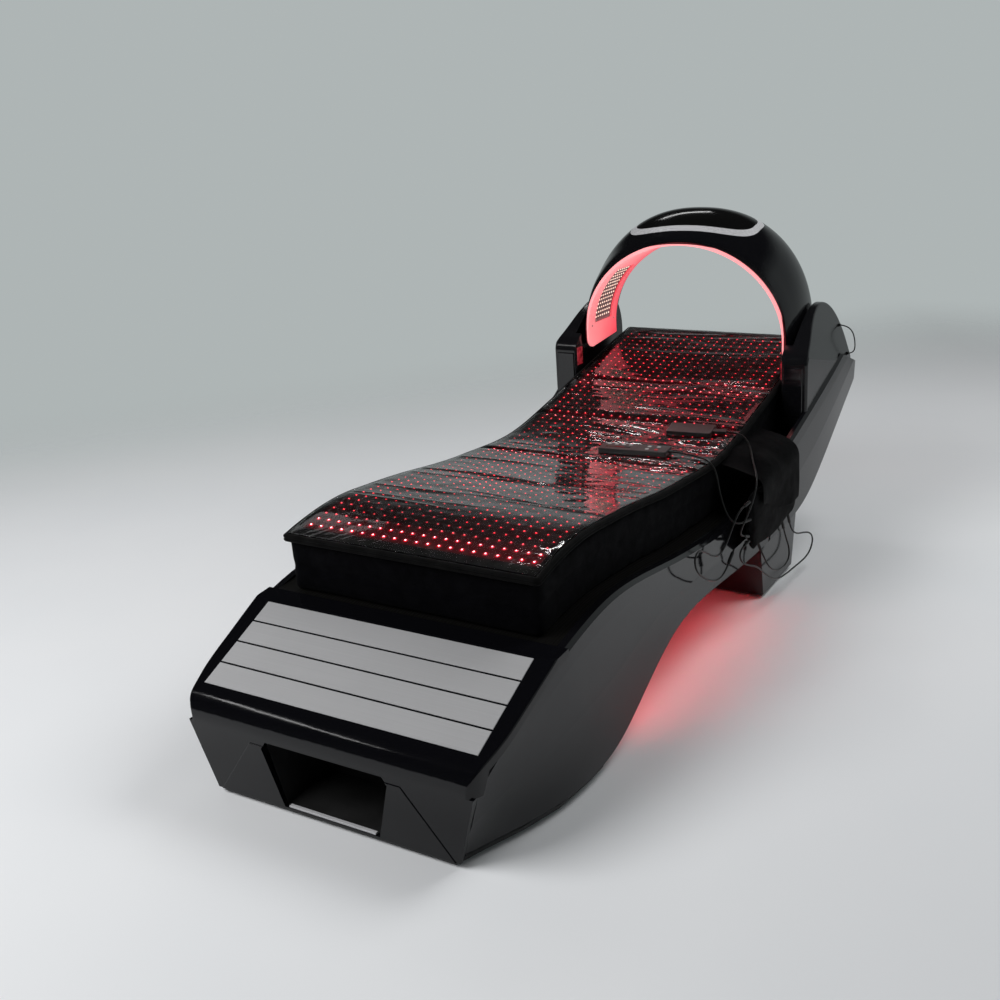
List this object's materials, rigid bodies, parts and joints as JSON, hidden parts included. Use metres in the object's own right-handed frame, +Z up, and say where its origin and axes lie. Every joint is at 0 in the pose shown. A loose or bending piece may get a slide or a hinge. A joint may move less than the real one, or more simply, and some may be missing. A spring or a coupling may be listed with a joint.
{
  "type": "red light therapy bed",
  "caption": "Low wave-shaped spa couch in black gloss with a red light mat, foot treads and a tilting light arch over the head end.",
  "frame": {"origin": "on the floor under the middle of the bed", "axes": "+Y from the foot treads to the head arch, +Z up, +X to the side with the pouch"},
  "size_m": [0.9798, 2.2717, 1.094],
  "materials": {
    "gloss_black": "deep black gloss lacquer",
    "dark_inside": "dark satin moulding",
    "brushed_aluminium": "brushed along its length",
    "silver_trim": "satin silver",
    "frame_steel": "black powder coat",
    "plywood": "dark stained board",
    "pad_rubber": "matt",
    "red_glow": "lit red diffuser",
    "mattress_cloth": "black woven cloth",
    "mat_fabric": "black coated fabric",
    "clear_film": "clear soft film",
    "lit_liner": "milky diffuser lit red",
    "board_grey": "light board",
    "dark_glass": "smoked",
    "pin_steel": "turned",
    "bush_brass": "turned",
    "handset_plastic": "satin dark grey",
    "key_grey": "soft touch",
    "key_red": "soft touch",
    "pouch_cloth": "black nylon",
    "cord_rubber": "smooth black"
  },
  "bodies": {
    "bed": {"arm_caps": "gloss_black", "arm_left": "gloss_black", "arm_panels": "red_glow", "arm_right": "gloss_black", "barrel_plug": "cord_rubber", "base_plates": "frame_steel", "belly_pan": "dark_inside", "clear_cover": "clear_film", "cord_arm_loop": "cord_rubber", "cord_handset": "cord_rubber", "cord_long_loop": "cord_rubber", "cord_second_handset": "cord_rubber", "cord_short_loop": "cord_rubber", "cord_sleeves": "cord_rubber", "cord_with_plug": "cord_rubber", "deck": "plywood", "deck_ribs": "plywood", "fascia_block": "gloss_black", "foot_nose": "gloss_black", "foot_treads": "brushed_aluminium", "frame_columns": "frame_steel", "front_bulkhead": "dark_inside", "front_fascia": "gloss_black", "glow_strips": "red_glow", "handset_case": "handset_plastic", "handset_window": "dark_glass", "head_panel": "dark_inside", "levelling_pads": "pad_rubber", "light_mat": "mat_fabric", "mains_inlet": "handset_plastic", "mat_binding": "mat_fabric", "mattress": "mattress_cloth", "pedestal": "gloss_black", "pivot_pins": "pin_steel", "power_supply": "frame_steel", "rear_pan": "dark_inside", "recess_trim": "brushed_aluminium", "recess_tub": "dark_inside", "second_handset": "handset_plastic", "second_handset_plug": "handset_plastic", "side_pouch": "pouch_cloth", "side_shell_left": "gloss_black", "side_shell_right": "gloss_black"},
    "arch": {"arch_shell": "gloss_black", "arch_liner": "lit_liner", "light_boards": "board_grey", "display_bezel": "silver_trim", "display_glass": "dark_glass", "pivot_bushes": "bush_brass", "liner_screws": "pin_steel"},
    "rocker": {"power_rocker": "handset_plastic"},
    "key_1": {"handset_key_1": "key_grey"},
    "key_2": {"handset_key_2": "key_grey"},
    "key_3": {"handset_key_3": "key_grey"},
    "key_4": {"handset_key_4": "key_grey"},
    "key_5": {"handset_key_5": "key_grey"},
    "key_6": {"handset_key_6": "key_grey"},
    "key_7": {"handset_key_7": "key_grey"},
    "key_8": {"handset_key_8": "key_red"}
  },
  "joints": [
    {"name": "arch_tilt", "type": "hinge", "parent": "bed", "child": "arch", "pos_m": [0, 0.96186, 0.674], "axis": [1, 0, 0], "range_deg": [-58, 8]},
    {"name": "power_switch", "type": "hinge", "parent": "bed", "child": "rocker", "pos_m": [0.022, 0.60986, 0.06], "axis": [1, 0, 0], "range_deg": [-9, 9]},
    {"name": "key_1_press", "type": "slide", "parent": "bed", "child": "key_1", "axis": [0, 0, -1], "range_m": [0, 0.001], "stiffness_N_per_m": 300},
    {"name": "key_2_press", "type": "slide", "parent": "bed", "child": "key_2", "axis": [0, 0, -1], "range_m": [0, 0.001], "stiffness_N_per_m": 300},
    {"name": "key_3_press", "type": "slide", "parent": "bed", "child": "key_3", "axis": [0, 0, -1], "range_m": [0, 0.001], "stiffness_N_per_m": 300},
    {"name": "key_4_press", "type": "slide", "parent": "bed", "child": "key_4", "axis": [0, 0, -1], "range_m": [0, 0.001], "stiffness_N_per_m": 300},
    {"name": "key_5_press", "type": "slide", "parent": "bed", "child": "key_5", "axis": [0, 0, -1], "range_m": [0, 0.001], "stiffness_N_per_m": 300},
    {"name": "key_6_press", "type": "slide", "parent": "bed", "child": "key_6", "axis": [0, 0, -1], "range_m": [0, 0.001], "stiffness_N_per_m": 300},
    {"name": "key_7_press", "type": "slide", "parent": "bed", "child": "key_7", "axis": [0, 0, -1], "range_m": [0, 0.001], "stiffness_N_per_m": 300},
    {"name": "key_8_press", "type": "slide", "parent": "bed", "child": "key_8", "axis": [0, 0, -1], "range_m": [0, 0.001], "stiffness_N_per_m": 300}
  ]
}
